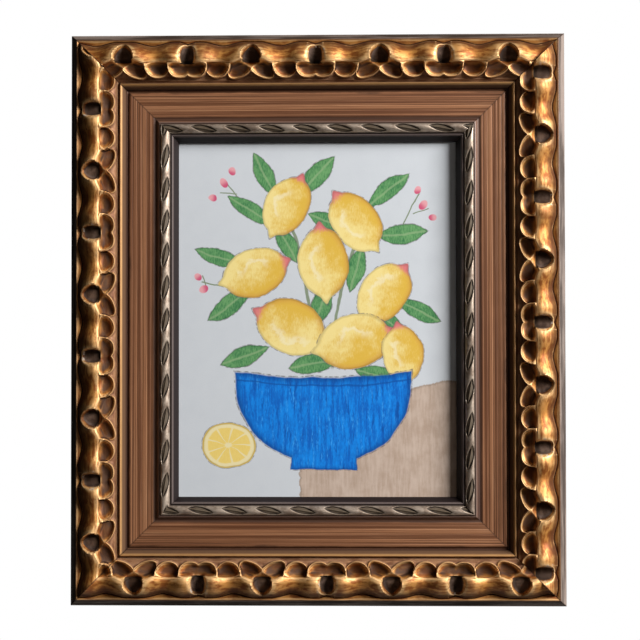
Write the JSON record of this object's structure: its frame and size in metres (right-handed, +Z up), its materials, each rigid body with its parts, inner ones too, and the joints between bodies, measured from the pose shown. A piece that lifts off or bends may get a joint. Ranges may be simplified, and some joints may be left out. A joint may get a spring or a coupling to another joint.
{
  "type": "framed watercolour painting",
  "caption": "Upright picture frame with a carved gilt edge, a stained wood panel and a silvered rope at the sight, round a watercolour on paper, with a hanger on its back.",
  "frame": {"origin": "middle of the rear face of the sawtooth hanger on the back of the top rail, where the wall nail bears", "axes": "+Z up, +X to the right of someone looking at the picture, +Y out of the back towards the wall, so the picture faces -Y"},
  "size_m": [0.488, 0.0428, 0.564],
  "materials": {
    "gilded_moulding": "antique gilt carving with dark toner in its hollows, combed stained panel, silvered rope, bare wood behind",
    "watercolour_paper": "matt paper with transparent watercolour",
    "hardboard": "matt pressed brown board",
    "zinc_steel": "dull zinc plate"
  },
  "bodies": {
    "root": {"rail_top": "gilded_moulding", "rail_bottom": "gilded_moulding", "rail_left": "gilded_moulding", "rail_right": "gilded_moulding", "painting_sheet": "watercolour_paper", "backing_board": "hardboard", "framers_point_left_upper": "zinc_steel", "framers_point_left_lower": "zinc_steel", "framers_point_right_upper": "zinc_steel", "framers_point_right_lower": "zinc_steel", "framers_point_top": "zinc_steel", "framers_point_bottom": "zinc_steel", "sawtooth_hanger": "zinc_steel", "hanger_nail_left": "zinc_steel", "hanger_nail_right": "zinc_steel"}
  },
  "joints": []
}
